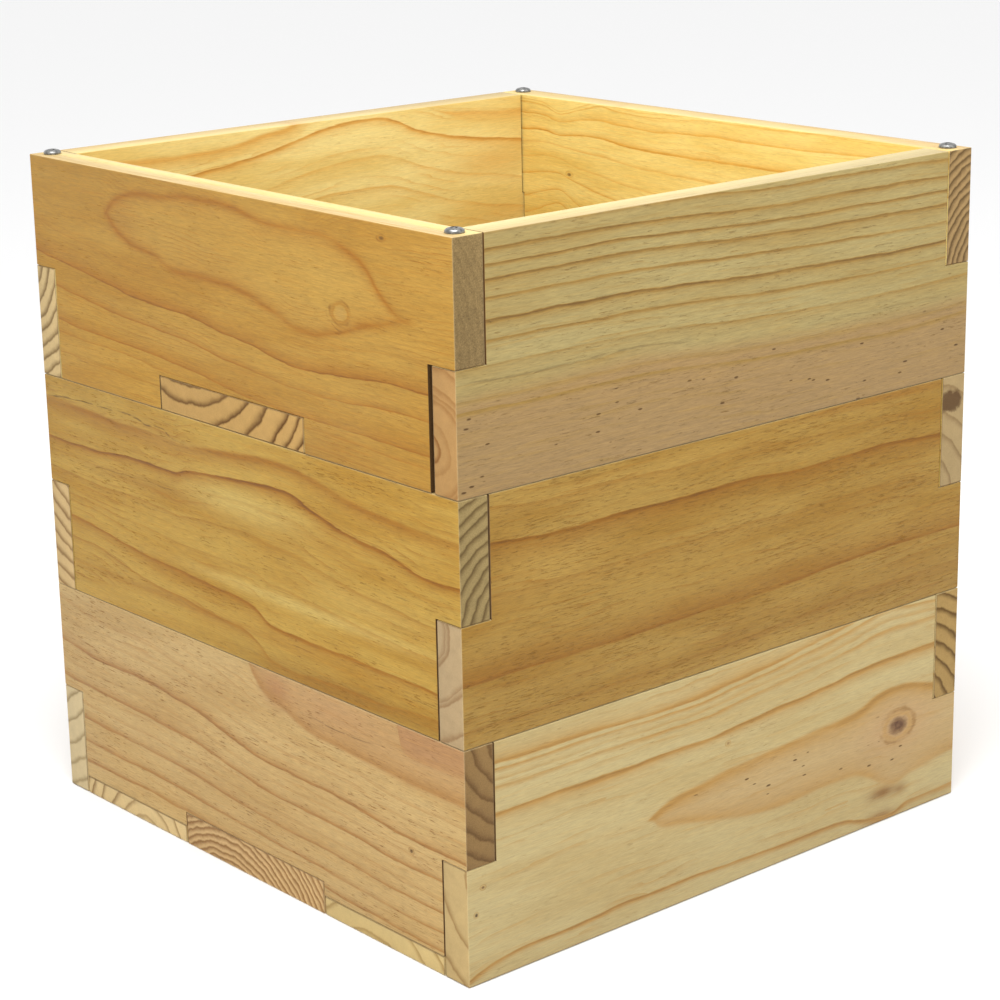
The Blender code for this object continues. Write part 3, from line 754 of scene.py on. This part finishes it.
marked = given.node("GeometryNodeStoreNamedAttribute", {"data_type": "FLOAT_VECTOR", "domain": "POINT"},
                    {"Geometry": blank, "Name": "screw_place", "Value": on_blank})
# Each screw stops at an angle of its own.
angle = given.node("FunctionNodeRandomValue", {"data_type": "FLOAT"},
                   {2: 0.0, 3: math.tau, "Seed": given.also("Seed")}, 1)
facing = given.node("ShaderNodeCombineXYZ", {}, {"X": given.also("Upside Down"), "Z": angle})
driven = given.node("GeometryNodeInstanceOnPoints", {},
                    {"Points": given, "Instance": marked, "Rotation": facing})
driven = given.node("GeometryNodeRealizeInstances", {}, {"Geometry": driven})
driven = given.node("GeometryNodeSetMaterial", {}, {"Geometry": driven, "Material": given.also("Metal")})
given.node("NodeGroupOutput", {}, {0: driven}, output=None)


def drive_screws(name, body, nodes, sizes, seed, upside_down=False):
    """A screw at each of these CAD screws, all in one mesh."""
    centres = []
    for node in nodes:
        lowest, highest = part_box(node)
        middle = (lowest + highest) / 2
        top = lowest.z if upside_down else highest.z - sizes["Dome Height"]
        centres.append((middle.x, middle.y, top))
    mesh = bpy.data.meshes.new(name + "_places")
    mesh.from_pydata(centres, [], [])
    places = bpy.data.objects.new(name + "_places", mesh)
    bpy.context.scene.collection.objects.link(places)
    modifier = places.modifiers.new("screws", "NODES")
    modifier.node_group = screw_tree
    values = {**sizes, "Upside Down": math.pi if upside_down else 0.0, "Seed": seed, "Metal": steel}
    for socket in screw_tree.interface.items_tree:
        if socket.name in values:
            modifier[socket.identifier] = values[socket.name]
    graph = bpy.context.evaluated_depsgraph_get()
    mesh = bpy.data.meshes.new_from_object(places.evaluated_get(graph))
    bpy.data.objects.remove(places)
    shape = bmesh.new()
    shape.from_mesh(mesh)
    bmesh.ops.recalc_face_normals(shape, faces=shape.faces)
    for face in shape.faces:
        face.smooth = True
    shape.to_mesh(mesh)
    shape.free()
    mesh.set_sharp_from_angle(angle=HEAD_EDGE)
    screws = bpy.data.objects.new(name, mesh)
    bpy.context.scene.collection.objects.link(screws)
    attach(screws, body)
    for node in nodes:
        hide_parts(node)


for number, tier in enumerate(("bottom", "middle", "top")):
    corners = [node for node in sorted(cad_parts) if node.startswith(tier + "_screw_")]
    drive_screws(tier + "_screws", tier + "_tier", corners, PAN_HEAD, seed=number)
floor_screws = [node for node in sorted(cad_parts) if node.startswith("floor_screw_")]
drive_screws("floor_screws", "bottom_tier", floor_screws, COUNTERSUNK, seed=7, upside_down=True)

# STUDIO. A plain pale floor and an even white surround, with a broad lamp high on the left, a weaker one
# on the right, and a small one over the rim that reaches the inner walls.
FLOOR_REACH = 40.0
FLOOR_DROP = 0.0004
PALE = (0.9, 0.9, 0.9, 1)
WHITE = (1, 1, 1, 1)
floor = bpy.data.objects.new("studio_floor", bpy.data.meshes.new("studio_floor"))
shape = bmesh.new()
bmesh.ops.create_grid(shape, x_segments=1, y_segments=1, size=FLOOR_REACH)
shape.to_mesh(floor.data)
shape.free()
bpy.context.scene.collection.objects.link(floor)
paper = bpy.data.materials.new("studio_paper")
paper.use_nodes = True
shader = paper.node_tree.nodes["Principled BSDF"]
shader.inputs["Base Color"].default_value = PALE
shader.inputs["Roughness"].default_value = 0.9
floor.data.materials.append(paper)
floor.location.z = -FLOOR_DROP

world = bpy.data.worlds.new("studio")
bpy.context.scene.world = world
world.use_nodes = True
world.node_tree.nodes["Background"].inputs["Color"].default_value = WHITE
world.node_tree.nodes["Background"].inputs["Strength"].default_value = 1.0


def softbox(name, place, size, watts, target=(0, 0, 0.2)):
    lamp = bpy.data.lights.new(name, "AREA")
    lamp.size = size
    lamp.energy = watts
    stand = bpy.data.objects.new(name, lamp)
    stand.location = place
    stand.visible_camera = False
    stand.rotation_euler = (Vector(place) - Vector(target)).to_track_quat("Z", "Y").to_euler()
    bpy.context.scene.collection.objects.link(stand)


softbox("key", (-2.2, -1.9, 2.9), size=2.0, watts=20)
softbox("fill", (1.4, -2.8, 2.2), size=1.8, watts=6)
softbox("overhead", (-0.36, -0.36, 1.35), size=0.8, watts=13, target=(0.06, 0.06, 0.3))

LENS = 95.3
EYE = (-1.0278, -1.2005, 0.6507)
ACROSS = (0.7564, -0.6539, -0.0181)
UPWARD = (0.1955, 0.1994, 0.9603)
BACKWARD = (-0.6243, -0.7297, 0.2786)
camera = bpy.data.objects.new("camera", bpy.data.cameras.new("camera"))
bpy.context.scene.collection.objects.link(camera)
camera.data.lens = LENS
turn = Matrix((ACROSS, UPWARD, BACKWARD)).transposed().to_4x4()
camera.matrix_world = Matrix.Translation(EYE) @ turn
bpy.context.scene.camera = camera
bpy.context.scene.view_settings.view_transform = "Standard"
